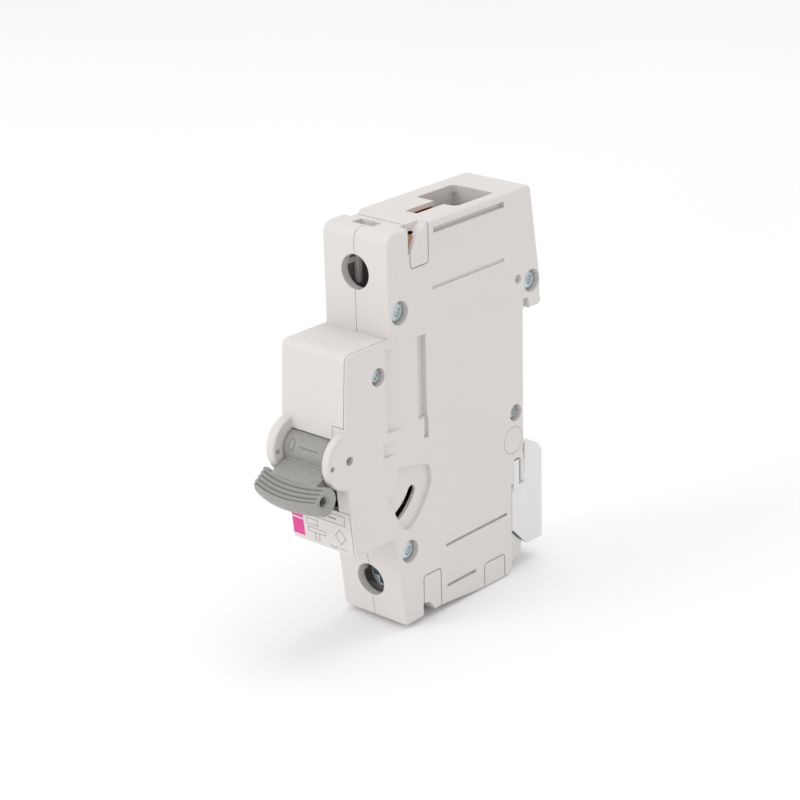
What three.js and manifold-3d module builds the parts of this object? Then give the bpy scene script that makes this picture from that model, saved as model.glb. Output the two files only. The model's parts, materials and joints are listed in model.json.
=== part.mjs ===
// Miniature circuit breaker, one pole, for a 35 mm DIN rail, with its whole mechanism.
//
// Frame: millimetres, +Z up, +X to the breaker's right, -Y towards the operator.
// The origin is the centre of the flat that seats on the rail. The lever is in its off place.
import * as THREE from "three";
import { mergeVertices } from "three/addons/utils/BufferGeometryUtils.js";
import Module from "manifold-3d";

const wasm = await Module();
wasm.setup();

// ---------------------------------------------------------------- driving dimensions
const MODULE_WIDTH = 18; // one DIN module
const HALF = MODULE_WIDTH / 2;
const WALL = 1.6;
const INNER = HALF - WALL; // half width of the space inside
const PARTING_GAP = 0.15; // between the two housing halves
const GAP = 0.3; // between pieces that touch in the real object
const ROUNDING = 0.7; // moulded rounding along the side edges

const TOP = 44.3;
const BOTTOM = -45.2;
const SHOULDER = -43.9; // front of the upper terminal block
const LOWER_SHOULDER = -43.6;
const NOSE_TOP = 22.4;
const NOSE_BOTTOM = -22.7;
const SEAT_END = -14.8; // lower end of the flat that rests on the rail
const SEAT_RELIEF = 0.2; // the rear edge stands this far back beyond that flat's ends
const SEAT_LOW = -23.7; // lower end of the rear edge that carries the seat
const HOOK_LOW = 16.45; // lower end of the hook over the rail's upper edge
const HOOK_ROOF = 19.2; // where the rail's upper edge stops in the hook
const REAR_BELOW_SEAT = -4.3;

const LEVER_AXIS = { y: -57, z: -0.2 };
const EAR_RADIUS = 6.5;
const RIGHT_EAR = 2; // thickness of each ear
const LEFT_EAR = 2.65;
const DRUM_RADIUS = 3.8;
const CRANK_RADIUS = 6;
const CRANK_ANGLE = 20; // degrees above +Y with the lever off

const SCREW_HEIGHT = 35.1; // terminal screw axes, above and below the middle
const SCREW_HOLE_RADIUS = 3.8;

const CARRIER_AXIS = { y: -37, z: -10 };
const CARRIER_PIN = { y: -42.04, z: -1.19 }; // where the link ends with the lever off
const TRIP_AXIS = { y: -33.5, z: 2 };
const COIL_HEIGHT = 15.5;

// Rivets: where they stand, the radius of their hole in the side, and how deep the head sits.
const RIVETS = {
  rivet_front_upper: { y: -40.6, z: 27.15, hole: 2.6 },
  rivet_rear_upper: { y: 2.7, z: 22.7, hole: 2.6 },
  rivet_front_lower: { y: -39.2, z: -26.95, hole: 2.6 },
  rivet_nose: { y: -47.7, z: 15.25, hole: 2.0 },
  rivet_rear_lower: { y: -3.15, z: -6.5, hole: 2.0 },
};
const RIVET_SHANK = 1.1;
const RIVET_HEAD_DEPTH = 1.0;

const COLOURS = {
  housing: [0xd9d6d3, 0.55, 0],
  lever: [0x8f908b, 0.5, 0],
  clip: [0xe9e7ea, 0.45, 0],
  zinc: [0xb9c0c4, 0.35, 1],
  steel: [0xa8a9ab, 0.4, 1],
  copper: [0xc98a63, 0.35, 1],
  silver: [0xdfe0e0, 0.3, 1],
  enamel: [0xa8552c, 0.3, 0.6],
  bobbin: [0x2f3032, 0.6, 0],
  fibre: [0xb7a58a, 0.8, 0],
  brass: [0xc2a255, 0.35, 1],
};

// ---------------------------------------------------------------- solids from three.js shapes
function solid(geometry) {
  geometry.deleteAttribute("normal");
  geometry.deleteAttribute("uv");
  const merged = mergeVertices(geometry, 1e-4);
  return new wasm.Manifold(
    new wasm.Mesh({
      numProp: 3,
      vertProperties: merged.attributes.position.array,
      triVerts: new Uint32Array(merged.index.array),
    }),
  );
}

function geometryOf(shape) {
  const mesh = shape.getMesh();
  const geometry = new THREE.BufferGeometry();
  geometry.setAttribute("position", new THREE.BufferAttribute(mesh.vertProperties, 3));
  geometry.setIndex(new THREE.BufferAttribute(mesh.triVerts, 1));
  return geometry;
}

const join = (first, ...others) => others.reduce((all, one) => all.add(one), first);
const cut = (first, ...others) => others.reduce((left, one) => left.subtract(one), first);

function block(x0, x1, y0, y1, z0, z1) {
  const geometry = new THREE.BoxGeometry(x1 - x0, y1 - y0, z1 - z0);
  geometry.translate((x0 + x1) / 2, (y0 + y1) / 2, (z0 + z1) / 2);
  return solid(geometry);
}

// Each axis keeps the other two in cyclic order, so a prism along x has an outline in (y, z),
// one along y has an outline in (z, x), and one along z has an outline in (x, y).
const X = new THREE.Vector3(1, 0, 0);
const Y = new THREE.Vector3(0, 1, 0);
const Z = new THREE.Vector3(0, 0, 1);
const FRAMES = {
  x: new THREE.Matrix4().makeBasis(Y, Z, X),
  y: new THREE.Matrix4().makeBasis(Z, X, Y),
  z: new THREE.Matrix4(),
};

// Corners are [u, v] or [u, v, radius]; a corner with a radius becomes an arc.
function outline(corners, steps = 4) {
  const points = [];
  corners.forEach(([u, v, radius], i) => {
    const here = new THREE.Vector2(u, v);
    if (!radius) {
      points.push(here);
      return;
    }
    const [pu, pv] = corners[(i + corners.length - 1) % corners.length];
    const [nu, nv] = corners[(i + 1) % corners.length];
    const back = new THREE.Vector2(pu, pv).sub(here).normalize();
    const on = new THREE.Vector2(nu, nv).sub(here).normalize();
    const half = Math.acos(THREE.MathUtils.clamp(back.dot(on), -1, 1)) / 2;
    const centre = back.clone().add(on).normalize().multiplyScalar(radius / Math.sin(half)).add(here);
    const start = back.clone().multiplyScalar(radius / Math.tan(half)).add(here).sub(centre);
    const end = on.clone().multiplyScalar(radius / Math.tan(half)).add(here).sub(centre);
    const from = start.angle();
    let turn = end.angle() - from;
    if (turn > Math.PI) turn -= 2 * Math.PI;
    if (turn < -Math.PI) turn += 2 * Math.PI;
    for (let k = 0; k <= steps; k++) {
      const angle = from + (turn * k) / steps;
      points.push(new THREE.Vector2(Math.cos(angle), Math.sin(angle)).multiplyScalar(radius).add(centre));
    }
  });
  return points;
}

function arc(u, v, radius, from, to, steps) {
  const points = [];
  for (let k = 0; k <= steps; k++) {
    const angle = THREE.MathUtils.degToRad(from + ((to - from) * k) / steps);
    points.push([u + radius * Math.cos(angle), v + radius * Math.sin(angle)]);
  }
  return points;
}

function prism(axis, corners, from, to, { steps = 4, bevel = 0 } = {}) {
  const geometry = new THREE.ExtrudeGeometry(new THREE.Shape(outline(corners, steps)), {
    depth: to - from - 2 * bevel,
    bevelEnabled: bevel > 0,
    bevelThickness: bevel,
    bevelSize: bevel,
    bevelOffset: -bevel,
    bevelSegments: 3,
    steps: 1,
  });
  geometry.translate(0, 0, from + bevel);
  geometry.applyMatrix4(FRAMES[axis]);
  return solid(geometry);
}

function rod(axis, u, v, radius, from, to, sides = 24) {
  return prism(axis, arc(u, v, radius, 0, 360 - 360 / sides, sides - 1), from, to);
}

// A profile of [radius, height] turned about a line along the axis through (u, v).
function turned(axis, u, v, profile, sides = 24) {
  const points = profile.map(([radius, height]) => new THREE.Vector2(radius, height));
  const geometry = new THREE.LatheGeometry(points, sides);
  geometry.rotateX(Math.PI / 2);
  geometry.translate(u, v, 0);
  geometry.applyMatrix4(FRAMES[axis]);
  return solid(geometry);
}

// A wire of the given radius swept along a curve.
function wire(curve, radius, steps, sides = 6) {
  const section = new THREE.Shape();
  section.absarc(0, 0, radius, 0, 2 * Math.PI);
  const geometry = new THREE.ExtrudeGeometry(section, {
    steps,
    extrudePath: curve,
    bevelEnabled: false,
    curveSegments: sides / 2,
  });
  return solid(geometry);
}

class Helix extends THREE.Curve {
  constructor(axis, u, v, radius, from, to, turns) {
    super();
    Object.assign(this, { frame: FRAMES[axis], u, v, radius, from, to, turns });
  }
  getPoint(t, target = new THREE.Vector3()) {
    const angle = 2 * Math.PI * this.turns * t;
    target.set(
      this.u + this.radius * Math.cos(angle),
      this.v + this.radius * Math.sin(angle),
      this.from + (this.to - this.from) * t,
    );
    return target.applyMatrix4(this.frame);
  }
}

const spring = (axis, u, v, radius, from, to, turns, thickness) =>
  wire(new Helix(axis, u, v, radius, from, to, turns), thickness / 2, turns * 7);

// The same shape on both sides, or above and below, of the middle.
const onBothSides = (make) => join(make(1), make(-1));
const sideways = (side, x0, x1) => (side > 0 ? [x0, x1] : [-x1, -x0]);

function polar(centre, radius, degrees) {
  const angle = THREE.MathUtils.degToRad(degrees);
  return { y: centre.y + radius * Math.cos(angle), z: centre.z + radius * Math.sin(angle) };
}

// A bar of the given width between two points of the (y, z) plane, with round ends.
function bar(from, to, width, x0, x1) {
  const heading = THREE.MathUtils.radToDeg(Math.atan2(to.z - from.z, to.y - from.y));
  const corners = [
    ...arc(from.y, from.z, width / 2, heading + 90, heading + 270, 6),
    ...arc(to.y, to.z, width / 2, heading - 90, heading + 90, 6),
  ];
  return prism("x", corners, x0, x1);
}

// ---------------------------------------------------------------- housing
const HOUSING_OUTLINE = [
  [SHOULDER, TOP, 2.4],
  [2.6, TOP, 1],
  [6.0, 22.3],
  [6.3, HOOK_LOW, 1],
  [0, HOOK_LOW],
  [0, SEAT_END],
  [-SEAT_RELIEF, SEAT_END - 0.2],
  [-SEAT_RELIEF, SEAT_LOW],
  [REAR_BELOW_SEAT, SEAT_LOW],
  [REAR_BELOW_SEAT, -44.2],
  [-5.7, BOTTOM],
  [-14.7, BOTTOM + 0.1],
  [-29.4, -43.8],
  [-41, -44.3, 1],
  [LOWER_SHOULDER, NOSE_BOTTOM],
  [-55.9, NOSE_BOTTOM, 1.2],
  [-57.6, -7],
  [-57.9, 7.5],
  [-56.9, NOSE_TOP, 1.6],
  [SHOULDER, NOSE_TOP],
];

// The slot behind the seat for the rail's upper edge, the waist of the hook's back,
// and the notch in the bottom edge, which leaves the wall behind it a pointed foot.
const OUTLINE_CUTS = [
  [
    [-SEAT_RELIEF, HOOK_LOW],
    [0, HOOK_LOW - 0.2],
    [2.3, HOOK_LOW - 1],
    [2.2, HOOK_LOW],
    [1.3, HOOK_ROOF],
    [-SEAT_RELIEF, HOOK_ROOF],
  ],
  [
    [7, 17.5],
    [6.3, 17.5],
    [5.5, 18.6],
    [5.5, 20.8],
    [5.95, 22.3],
    [7, 22.3],
  ],
  [
    [-35.3, BOTTOM - 1],
    [-35.3, -40.8],
    [-33.4, -41.1],
    [-31.2, -43.7],
    [-31, BOTTOM - 1],
  ],
];

const CAVITY_OUTLINE = [
  [-42, 40],
  [-37, 40],
  [-37, 42.6],
  [-1.7, 42.6],
  [-1.7, -15.8],
  [-8, -15.8],
  [-8, -43.3],
  [-29, -42.1],
  [-29.6, -38.9],
  [-37, -38.9],
  [-37, -42.5],
  [-39.4, -42.5],
  [-41.6, -21],
  [-54.2, -21],
  [-55.9, -7],
  [-56.2, 7.5],
  [-55.2, 20.7],
  [-42, 20.7],
];

// The two ears that the lever turns between, one on each side of the nose.
function ears() {
  return onBothSides((side) => {
    const thickness = side > 0 ? RIGHT_EAR : LEFT_EAR;
    const profile = [
      [0, thickness],
      [6.2, thickness],
      [EAR_RADIUS, thickness - 0.35],
      [EAR_RADIUS, 0.9],
      [6.25, 0.35],
      [5.6, 0],
      [0, 0],
    ];
    const heights = profile.map(([radius, depth]) => [radius, side * (HALF - depth)]);
    return turned("x", LEVER_AXIS.y, LEVER_AXIS.z, side > 0 ? heights : heights.reverse(), 40);
  });
}

// Round posts inside the shell that the rivets pass through.
function rivetPosts() {
  const posts = Object.values(RIVETS).map(({ y, z, hole }) =>
    rod("x", y, z, hole + 0.8, -INNER - 0.2, INNER + 0.2, 12),
  );
  return join(...posts);
}

function rivetHoles() {
  const holes = Object.values(RIVETS).flatMap(({ y, z, hole }) => [
    rod("x", y, z, RIVET_SHANK + 0.15, -HALF - 1, HALF + 1, 12),
    rod("x", y, z, hole, HALF - RIVET_HEAD_DEPTH - 0.6, HALF + 1, 24),
    rod("x", y, z, hole, -HALF - 1, -HALF + RIVET_HEAD_DEPTH + 0.6, 24),
  ]);
  return join(...holes);
}

// Round holes in the front faces that let a screwdriver reach the terminal screws.
const screwHoles = () =>
  join(
    rod("y", SCREW_HEIGHT, 0, SCREW_HOLE_RADIUS, -46, -38, 32),
    rod("y", -SCREW_HEIGHT, 0, SCREW_HOLE_RADIUS, -46, -36, 32),
  );

// The keyhole in the top: a narrow way for a busbar fork and a wide way for a wire.
function wireOpening(low, high) {
  const corners = [
    [0.1, -28.1],
    [3.3, -28.1],
    [3.3, -19.6],
    [6.5, -19.2, 1.4],
    [6.5, -7, 0.5],
    [-4.7, -7, 1.4],
    [-4.7, -19],
    [0.1, -19],
  ];
  return prism("z", corners, low, high);
}

// Walls under the top that line the wide part of the wire opening down to the clamp cage.
const LINING_LOW = 39.4;

function openingLining() {
  return join(
    block(-5.6, -4.7, -18.9, -5.9, LINING_LOW, 43),
    block(-5.6, INNER + 0.2, -7, -5.9, LINING_LOW, 43),
    block(6.5, INNER + 0.2, -18.9, -5.9, LINING_LOW, 43),
  );
}

const OPENING_RIGHT = 5.5;

// The opening in the nose that the lever comes out of, wider between the ears.
function leverOpening() {
  const left = -HALF + LEFT_EAR + 0.02;
  const right = HALF - RIGHT_EAR - 0.02;
  return join(
    rod("x", LEVER_AXIS.y, LEVER_AXIS.z, DRUM_RADIUS + GAP, left, right, 36),
    block(left, right, -60, -54.5, -7.2, LEVER_AXIS.z),
    block(-5.3, OPENING_RIGHT, -60, -54.5, -12.5, -7),
  );
}

// A groove of the given width that outlines a thin tab in a side wall.
function tabGroove(side, y0, y1, closed, open) {
  const width = 0.35;
  const r = 0.9;
  const away = Math.sign(open - closed);
  const outer = [
    [y0 - width / 2, open],
    [y0 - width / 2, closed - (away * width) / 2, r],
    [y1 + width / 2, closed - (away * width) / 2, r],
    [y1 + width / 2, open],
  ];
  const inner = [
    [y0 + width / 2, open + away],
    [y0 + width / 2, closed + (away * width) / 2, r - width / 2],
    [y1 - width / 2, closed + (away * width) / 2, r - width / 2],
    [y1 - width / 2, open + away],
  ];
  const [x0, x1] = sideways(side, HALF - 0.45, HALF + 1);
  return cut(prism("x", outer, x0, x1), prism("x", inner, x0 - 1, x1 + 1));
}

// A long shallow groove with square ends in a side wall.
function sideGroove(side, y0, y1, z0, z1, depth) {
  const [x0, x1] = sideways(side, HALF - depth, HALF + 1);
  return block(x0, x1, y0, y1, z0, z1);
}

// A recess that is deepest along its front edge and fades out towards the rear.
function ramp(side, y0, y1, z0, z1, depth) {
  const corners = [
    [side * (HALF - depth), y0],
    [side * (HALF + 0.01), y1],
    [side * (HALF + 1), y1],
    [side * (HALF + 1), y0],
  ];
  return prism("z", corners, z0, z1);
}

// Features that both side faces carry.
function sideFeatures(side) {
  const [x0, x1] = sideways(side, HALF - 1.1, HALF + 1);
  const notch = [
    [-37.6, TOP + 1],
    [-31.2, TOP + 1],
    [-31.9, TOP - 0.4],
    [-35.5, 41.6],
    [-36.9, 38.9],
    [-37.6, 38.6],
  ];
  const [n0, n1] = sideways(side, 6.45, HALF + 1);
  const ringInner = rod("x", -4, -12.8, 3.05, x0 - 1, x1 + 1, 32);
  const [r0, r1] = sideways(side, HALF - 0.2, HALF + 1);
  return join(
    sideGroove(side, -29.6, -6.6, 41.45, 42.75, 1.1),
    sideGroove(side, -30.3, -6.8, 29.5, 30.3, 0.4),
    sideGroove(side, -27.4, -6.3, -30.2, -29.5, 0.8),
    sideGroove(side, -27.3, -17.4, -40, -39.2, 0.9),
    tabGroove(side, -37, -31.3, 35.6, TOP + 1),
    tabGroove(side, -35, -29.3, -34.5, BOTTOM - 1),
    tabGroove(side, -14.5, -7.4, -39.2, BOTTOM - 1),
    prism("x", notch, n0, n1),
    rod("x", -1.92, 24.2, 1.05, x0, x1, 20),
    cut(rod("x", -4, -12.8, 3.25, r0, r1, 32), ringInner),
  );
}

// Features that only the right side face carries: the test window, its slots and the fan recess.
function rightFeatures() {
  const fan = { y: -47, z: -8 };
  const fanCorners = [
    ...arc(fan.y, fan.z, 4.6, -78, 18, 12),
    [-32.4, -8.7, 1.9],
    ...arc(fan.y, fan.z, 15.9, -17, -60, 12),
    [-41.2, -21.2, 1.4],
  ];
  const slotRadius = 11;
  const slotHalfWidth = 1.2;
  const [low, high] = [-62, -30];
  const slotEnds = [low, high].map((angle) => polar(fan, slotRadius, angle));
  const slot = [
    ...arc(fan.y, fan.z, slotRadius + slotHalfWidth, low, high, 10),
    ...arc(slotEnds[1].y, slotEnds[1].z, slotHalfWidth, high + 15, high + 165, 5),
    ...arc(fan.y, fan.z, slotRadius - slotHalfWidth, high, low, 10),
    ...arc(slotEnds[0].y, slotEnds[0].z, slotHalfWidth, low - 195, low - 15, 6),
  ];
  return join(
    ramp(1, -45.3, -40.6, 2, 20.3, 0.9),
    ramp(1, -46.5, -42.7, -3.2, -0.2, 0.8),
    block(HALF - 1.2, HALF + 1, -35.5, -32.8, 2, 20.5),
    block(HALF - 0.8, HALF + 1, -33.8, -32.4, -2.7, 2.1),
    prism("x", fanCorners, HALF - 0.8, HALF + 1, { steps: 5 }),
    prism("x", slot, INNER - 1, HALF + 1),
  );
}

// The space behind the seat for the clip, with a slot and a notch in each side wall.
function clipSpace() {
  return join(
    block(-6.8, 6.8, -8.1, 1, -39.5, -17.3),
    block(-7.6, 7.6, -8.1, 1, -35.2, -15.8),
    onBothSides((side) => {
      const [x0, x1] = sideways(side, 6.5, HALF + 1);
      const slot = [
        [-4.04, SEAT_LOW - 1],
        [-1.4, SEAT_LOW - 1],
        [-1.4, -17.5, 0.9],
        [-4.04, -17.5, 0.9],
      ];
      return prism("x", slot, x0, x1);
    }),
  );
}

// A lug under the clip, narrower than the body.
const rearLug = () =>
  prism(
    "x",
    [
      [-6, -34.5],
      [-3.6, -35.4],
      [0.3, -39.3, 0.3],
      [0.3, -41.2, 0.3],
      [-3, -43.2],
      [-6, -43.2],
    ],
    -7.55,
    7.55,
  );

// The nose keeps a sharp edge on its left, where the rest of the side edges are rounded.
function noseEdge() {
  const inset = 0.02;
  const corners = [
    [SHOULDER + 6, NOSE_BOTTOM + inset],
    [-55.9 + inset, NOSE_BOTTOM + inset, 1.2],
    [-57.6 + inset, -7],
    [-57.9 + inset, 7.5],
    [-56.9 + inset, NOSE_TOP - inset, 1.6],
    [SHOULDER + 6, NOSE_TOP - inset],
  ];
  return prism("x", corners, -HALF, 4, { bevel: 0.2 });
}

// The whole shell as one body, before it is parted into halves.
function shell() {
  const body = prism("x", HOUSING_OUTLINE, -HALF, HALF, { bevel: ROUNDING });
  const outer = cut(
    join(body, noseEdge(), rearLug()),
    ...OUTLINE_CUTS.map((corners) => prism("x", corners, -HALF - 1, HALF + 1)),
  );
  const hollow = prism("x", CAVITY_OUTLINE, -INNER, INNER);
  const inside = join(rivetPosts(), openingLining());
  const walls = join(cut(outer, hollow), inside.intersect(outer), ears());
  return cut(
    walls,
    rivetHoles(),
    screwHoles(),
    wireOpening(42, TOP + 1),
    wireOpening(BOTTOM - 1, -42),
    leverOpening(),
    clipSpace(),
    onBothSides(sideFeatures),
    rightFeatures(),
    block(-3.7, 2.1, -40.4, -37.6, TOP - 2.2, TOP + 1),
    block(-4.2, 4.2, -30.2, -19.4, 42, 43.3),
    block(-HALF - 1, HALF + 1, -36, -35.6, TOP - 1, TOP + 1),
    rod("x", LEVER_AXIS.y, LEVER_AXIS.z, 1, -HALF - 1, HALF + 1, 20),
    rod("x", LEVER_AXIS.y - 5.1, LEVER_AXIS.z - 0.15, 0.6, -HALF - 1, HALF + 1, 14),
  );
}

// The left half wraps round the front of the nose and reaches almost to the right side,
// and it carries a strip of the seat on both sides of the middle. The right half carries the
// whole top wall behind the slit.
function leftRegion(margin) {
  const lap = 8.3 + margin;
  const parting = -PARTING_GAP / 2 - 0.1 + margin;
  const skin = 1.75 + margin;
  const front = [
    [-60, NOSE_BOTTOM - 1],
    [-55.9 + skin, NOSE_BOTTOM - 1],
    [-57.6 + skin, -7],
    [-57.9 + skin, 7.5],
    [-56.9 + skin, NOSE_TOP + 1],
    [-60, NOSE_TOP + 1],
  ];
  const back = SHOULDER - 0.3 + margin;
  const wrap = join(
    prism("x", front, -HALF - 1, lap),
    block(-HALF - 1, lap, -60, back, NOSE_TOP - skin, NOSE_TOP + 1),
    block(-HALF - 1, lap, -60, back, NOSE_BOTTOM - 1, NOSE_BOTTOM + skin),
  );
  const earLeft = OPENING_RIGHT - 0.3 + margin;
  const rightEar = block(earLeft, HALF + 1, -61, SHOULDER, -12.4 + margin, 7 - margin);
  const topWall = join(
    block(-HALF - 2, HALF, -35.8 + margin, 11, 42.35 + margin, TOP + 2),
    block(-5.75 + margin, HALF, -19.1 + margin, -5.75 - margin, LINING_LOW - 0.5, 43),
  );
  return join(
    cut(wrap, rightEar),
    cut(block(-HALF - 1, parting, -66, 10, BOTTOM - 1, TOP + 1), topWall),
    block(-HALF - 1, 3.5 + margin, -1.5 - margin, 0.1 + margin, -12 - margin, 12 + margin),
  );
}

function housing() {
  const whole = shell();
  return {
    left_housing: whole.intersect(leftRegion(0)),
    right_housing: cut(whole, leftRegion(PARTING_GAP)),
  };
}

function rivet({ y, z, hole }) {
  const seat = HALF - RIVET_HEAD_DEPTH - 0.6 + 0.05;
  const head = hole - GAP;
  const profile = [
    [0, -seat - 0.9],
    [head * 0.45, -seat - 0.9],
    [head * 0.85, -seat - 0.6],
    [head, -seat - 0.15],
    [head, -seat],
    [RIVET_SHANK, -seat],
    [RIVET_SHANK, seat],
    [head, seat],
    [head, seat + 0.15],
    [head * 0.85, seat + 0.6],
    [head * 0.45, seat + 0.9],
    [head * 0.4, seat + 0.3],
    [0, seat + 0.2],
  ];
  return turned("x", y, z, profile, 16);
}

// ---------------------------------------------------------------- lever
const GRIP_HALF_WIDTH = 8.75;
const GRIP_BOW = 1.5; // how far the grip bulges forward in its middle
const GRIP_HOLE = { y: -64.6, z: -6.8 };
const ARM_SLOPE = 24.5; // degrees below the horizontal

// The grip's section at its ends: four soft ridges down its front, and a smooth belly.
function gripSection() {
  const top = { y: -63.9, z: -3.5 };
  const foot = { y: -67.2, z: -6.1 };
  const count = 4;
  const wave = [0.5, 0.05, 0, 0.5, 0.95, 1]; // how deep each point lies, from crest to valley
  const ridges = [];
  for (let k = 0; k < count * wave.length; k++) {
    const t = (k + 0.5) / (count * wave.length);
    const depth = wave[k % wave.length];
    ridges.push([
      top.y + (foot.y - top.y) * t + 0.19 * depth,
      top.z + (foot.z - top.z) * t - 0.22 * depth,
    ]);
  }
  return [
    ...ridges,
    [foot.y, foot.z],
    [-67.1, -7.6],
    [-66, -9.2],
    [-64.6, -10],
    [-63.2, -9.9],
    [-61.9, -8.8],
    [-61.2, -7.2],
    [-61.5, -5.6],
    [-62.6, -4.3],
  ];
}

// The grip follows an arc from end to end, so that its middle stands forward.
function grip() {
  const stations = 10;
  const geometry = new THREE.ExtrudeGeometry(new THREE.Shape(outline(gripSection())), {
    depth: 2 * GRIP_HALF_WIDTH,
    bevelEnabled: false,
    steps: stations,
  });
  geometry.translate(0, 0, -GRIP_HALF_WIDTH);
  geometry.applyMatrix4(FRAMES.x);
  const place = geometry.attributes.position;
  const slope = THREE.MathUtils.degToRad(ARM_SLOPE);
  for (let i = 0; i < place.count; i++) {
    const across = place.getX(i) / GRIP_HALF_WIDTH;
    const bulge = GRIP_BOW * (1 - across * across);
    place.setY(i, place.getY(i) - bulge * Math.cos(slope));
    place.setZ(i, place.getZ(i) - bulge * Math.sin(slope));
  }
  return solid(geometry);
}

const CRANK_PIN = polar(LEVER_AXIS, CRANK_RADIUS, CRANK_ANGLE);

// The flat arm from the drum to the grip, with a small nick in its right edge.
function leverArm() {
  const plate = prism(
    "x",
    [
      [-59.6, 0.2],
      [-60.6, -1.95],
      [-64.6, -3.75],
      [-65.6, -5.6],
      [-63.6, -8.4],
      [-61.2, -7.2],
      [-58, -3.2],
      [-57, 0],
    ],
    -6,
    6.6,
  );
  const reach = polar(LEVER_AXIS, 5.1, 207);
  return cut(plate, rod("x", reach.y, reach.z, 0.9, 5.9, 7, 16));
}

// The holes in the grip's ends, each with a countersunk mouth.
const gripHoles = () =>
  onBothSides((side) => {
    const profile = [
      [0, 6],
      [1, 6],
      [1, GRIP_HALF_WIDTH - 0.55],
      [1.55, GRIP_HALF_WIDTH],
      [1.55, GRIP_HALF_WIDTH + 1],
      [0, GRIP_HALF_WIDTH + 1],
    ];
    const heights = profile.map(([radius, height]) => [radius, side * height]);
    return turned("x", GRIP_HOLE.y, GRIP_HOLE.z, side > 0 ? heights : heights.reverse(), 20);
  });

function lever() {
  const left = -HALF + LEFT_EAR + GAP;
  const right = HALF - RIGHT_EAR - GAP;
  const drum = rod("x", LEVER_AXIS.y, LEVER_AXIS.z, DRUM_RADIUS, left, right, 40);
  const crank = join(
    bar(LEVER_AXIS, CRANK_PIN, 3, -1.1, 1.1),
    rod("x", CRANK_PIN.y, CRANK_PIN.z, 1.6, -1.1, 1.1, 20),
  );
  return cut(
    join(drum, crank, leverArm(), grip()),
    rod("x", LEVER_AXIS.y, LEVER_AXIS.z, 1.15, -HALF, HALF, 20),
    rod("x", CRANK_PIN.y, CRANK_PIN.z, 0.85, -2, 2, 16),
    gripHoles(),
    rod("x", LEVER_AXIS.y, LEVER_AXIS.z, 2.6, 1.6, 5.2, 24),
    block(1.6, 5.2, LEVER_AXIS.y, LEVER_AXIS.y + 5, LEVER_AXIS.z - 2.6, LEVER_AXIS.z + 2.6),
  );
}

// A flat link with a pin at each end: one in the lever's crank, one in the carrier's slot.
function leverLink() {
  const far = CARRIER_PIN;
  return join(
    bar(CRANK_PIN, far, 2, 1.5, 2.5),
    rod("x", CRANK_PIN.y, CRANK_PIN.z, 0.6, -1.4, 1.7, 14),
    rod("x", far.y, far.z, 0.5, -1.4, 1.7, 14),
  );
}

// A torsion spring wound on the lever's pin inside a hollow of the drum.
const leverSpring = () =>
  spring("x", LEVER_AXIS.y, LEVER_AXIS.z, 1.95, 2.1, 4.7, 4, 0.5);

// ---------------------------------------------------------------- contacts
const ARM_ANGLE = -15.4; // of the moving contact's arm, with the contacts open
const ARM_REACH = 15.5;

function contactCarrier() {
  const slotEnd = { y: CARRIER_PIN.y + 2.1, z: CARRIER_PIN.z - 1.15 };
  const shelfStart = polar(CARRIER_AXIS, 2.4, ARM_ANGLE - 45);
  const shelfEnd = polar(CARRIER_AXIS, 8.5, ARM_ANGLE - 13);
  const body = join(
    rod("x", CARRIER_AXIS.y, CARRIER_AXIS.z, 2.6, -3.2, 3.2, 24),
    bar(CARRIER_AXIS, CARRIER_PIN, 3.4, -1.2, 1.2),
    bar(CARRIER_AXIS, slotEnd, 3.4, -1.2, 1.2),
    rod("x", CARRIER_PIN.y, CARRIER_PIN.z, 2, -1.2, 1.2, 20),
    rod("x", slotEnd.y, slotEnd.z, 2, -1.2, 1.2, 20),
    bar(shelfStart, shelfEnd, 1.6, -2.4, 2.4),
  );
  return cut(
    body,
    bar(CARRIER_PIN, slotEnd, 2.2, -2, 2),
    rod("x", CARRIER_AXIS.y, CARRIER_AXIS.z, 1.15, -4, 4, 16),
  );
}

const contactArm = () =>
  bar(polar(CARRIER_AXIS, 4.2, ARM_ANGLE + 2), polar(CARRIER_AXIS, ARM_REACH, ARM_ANGLE), 1.2, -1.8, 1.8);

// The tip stands on the arm, square to it, a hair above it.
function movingContactTip() {
  const foot = polar(CARRIER_AXIS, ARM_REACH - 0.8, ARM_ANGLE);
  const angle = THREE.MathUtils.degToRad(ARM_ANGLE);
  const tip = rod("z", 0, 0, 1.5, 0.9, 1.9, 16).transform([
    ...[1, 0, 0, 0],
    ...[0, Math.cos(angle), Math.sin(angle), 0],
    ...[0, -Math.sin(angle), Math.cos(angle), 0],
    ...[0, foot.y, foot.z, 1],
  ]);
  return tip;
}

const CLOSED = polar(CARRIER_AXIS, ARM_REACH - 0.8, ARM_ANGLE + 20);
const FIXED_TIP_LOW = CLOSED.z + 2.3;

const fixedContactTip = () =>
  rod("z", 0, CLOSED.y - 0.2, 1.5, FIXED_TIP_LOW, FIXED_TIP_LOW + 1, 16);

// A copper bar from the coil's lower side to above the contacts, with an arcing horn.
function fixedContactPlate() {
  const low = FIXED_TIP_LOW + 1 + GAP;
  return prism(
    "x",
    [
      [-24.6, low],
      [-19, low],
      [-16.5, low - 1.6],
      [-15.9, low - 0.5],
      [-18.6, low + 1.2],
      [-23.2, low + 1.2],
      [-23.2, 7.6],
      [-24.6, 7.6],
    ],
    -2.2,
    2.2,
  );
}

const contactSpring = () => spring("z", 0, -31, 1.4, -21.4, -15.9, 5, 0.5);

// ---------------------------------------------------------------- magnetic trip
function coilBobbin() {
  const profile = [
    [2.8, -27],
    [6.3, -27],
    [6.3, -26],
    [3.6, -26],
    [3.6, -11],
    [6.3, -11],
    [6.3, -10],
    [2.8, -10],
    [2.8, -27],
  ];
  return turned("y", COIL_HEIGHT, 0, profile, 20);
}

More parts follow.
